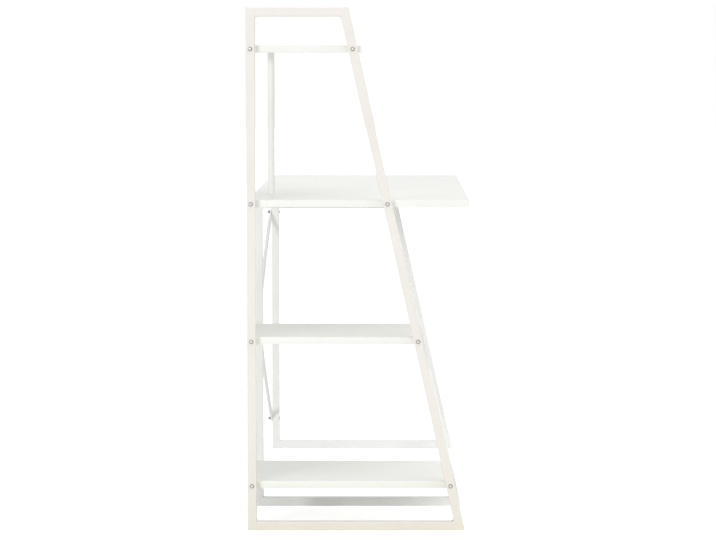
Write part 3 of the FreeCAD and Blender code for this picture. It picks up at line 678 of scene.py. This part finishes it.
world = bpy.data.worlds.new("studio")
bpy.context.scene.world = world
world.use_nodes = True
tree = world.node_tree
tree.nodes.clear()
strength = add(tree, "ShaderNodeMapRange", {
    "Value": seen_directly(tree), "To Min": WORLD_LIGHT, "To Max": WORLD_SEEN})
glow = add(tree, "ShaderNodeBackground", {
    "Color": (1, 1, 1, 1), "Strength": strength.outputs["Result"]})
add(tree, "ShaderNodeOutputWorld", {"Surface": glow.outputs["Background"]})

# The floor is white to the eye and keeps the desk's shadow. The light that it throws back is duller
# and yellower from a strip along the outside of the tall frame's foot.
FLOOR_REACH = 30
FLOOR_GLOW = 0.55
STRIP_X = -0.66
STRIP_HALF_WIDTH, STRIP_FADED = 0.06, 0.12

floor_paint, tree = new_material("studio_floor_white")
place = add(tree, "ShaderNodeTexCoord").outputs["Object"]
grit = add(tree, "ShaderNodeTexNoise", {"Vector": place, "Scale": 40.0})
shade = add(tree, "ShaderNodeMix", {
    "Factor": grit.outputs["Fac"], COLOUR_A: linear("#F6F6F6"), COLOUR_B: linear("#F2F2F2")},
    data_type="RGBA")
matt = add(tree, "ShaderNodeBsdfDiffuse", {"Color": shade.outputs[MIXED]})
light = add(tree, "ShaderNodeEmission", {"Color": (1, 1, 1, 1), "Strength": FLOOR_GLOW})
seen = add(tree, "ShaderNodeAddShader", {0: matt.outputs[0], 1: light.outputs[0]})
across = add(tree, "ShaderNodeSeparateXYZ", {0: place})
off_strip = add(tree, "ShaderNodeMath", {0: across.outputs["X"], 1: STRIP_X}, operation="SUBTRACT")
aside = add(tree, "ShaderNodeMath", {0: off_strip.outputs[0]}, operation="ABSOLUTE")
far = add(tree, "ShaderNodeMapRange", {
    "Value": aside.outputs[0], "From Min": STRIP_HALF_WIDTH, "From Max": STRIP_FADED})
bounce = add(tree, "ShaderNodeMix", {
    "Factor": far.outputs["Result"], COLOUR_A: linear("#D9D6BC"), COLOUR_B: linear("#F4F4F4")},
    data_type="RGBA")
unseen = add(tree, "ShaderNodeBsdfDiffuse", {"Color": bounce.outputs[MIXED]})
both = add(tree, "ShaderNodeMixShader", {
    0: seen_directly(tree), 1: unseen.outputs[0], 2: seen.outputs[0]})
add(tree, "ShaderNodeOutputMaterial", {"Surface": both.outputs[0]})

floor_mesh = bpy.data.meshes.new("studio_floor")
floor_mesh.from_pydata([(x * FLOOR_REACH, y * FLOOR_REACH, 0) for x, y in
                        ((-1, -1), (1, -1), (1, 1), (-1, 1))], [], [(0, 1, 2, 3)])
floor_mesh.materials.append(floor_paint)
floor = bpy.data.objects.new("studio_floor", floor_mesh)
bpy.context.scene.collection.objects.link(floor)


# The camera looks along the desk's width from its shelf end, from the place that the meeting point of
# all lines along the width gives. It is tilted down a little, as far as the upright lines allow, so
# that the lens needs little shift and the whole desk stays in the frame from any side.
CAMERA_BACK = 5586.7 * MM
CAMERA_FORWARD_OF_REAR = 323.1 * MM
CAMERA_HEIGHT = 1072.2 * MM
CAMERA_TILT = 4.2
PICTURE_WIDTH, PICTURE_HEIGHT = 716, 540
SENSOR_WIDTH = 36
# Where the lens points in the picture, and how many pixels a slope of one is
AXIS_X, AXIS_Y = 390.96, 237.82
PIXELS_PER_UNIT_SLOPE = 2505.8

post_low, post_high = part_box("tall_frame_rear_post")
camera_data = bpy.data.cameras.new("camera")
camera = bpy.data.objects.new("camera", camera_data)
bpy.context.scene.collection.objects.link(camera)
bpy.context.scene.camera = camera
camera.location = (post_low.x - CAMERA_BACK, post_high.y - CAMERA_FORWARD_OF_REAR, CAMERA_HEIGHT)
camera.rotation_euler = (math.radians(90 - CAMERA_TILT), 0, -math.pi / 2)
camera_data.sensor_width = SENSOR_WIDTH
camera_data.lens = PIXELS_PER_UNIT_SLOPE / PICTURE_WIDTH * SENSOR_WIDTH
camera_data.shift_x = (PICTURE_WIDTH / 2 - AXIS_X) / PICTURE_WIDTH
camera_data.shift_y = (AXIS_Y - PICTURE_HEIGHT / 2) / PICTURE_WIDTH

bpy.context.scene.view_settings.view_transform = "Standard"
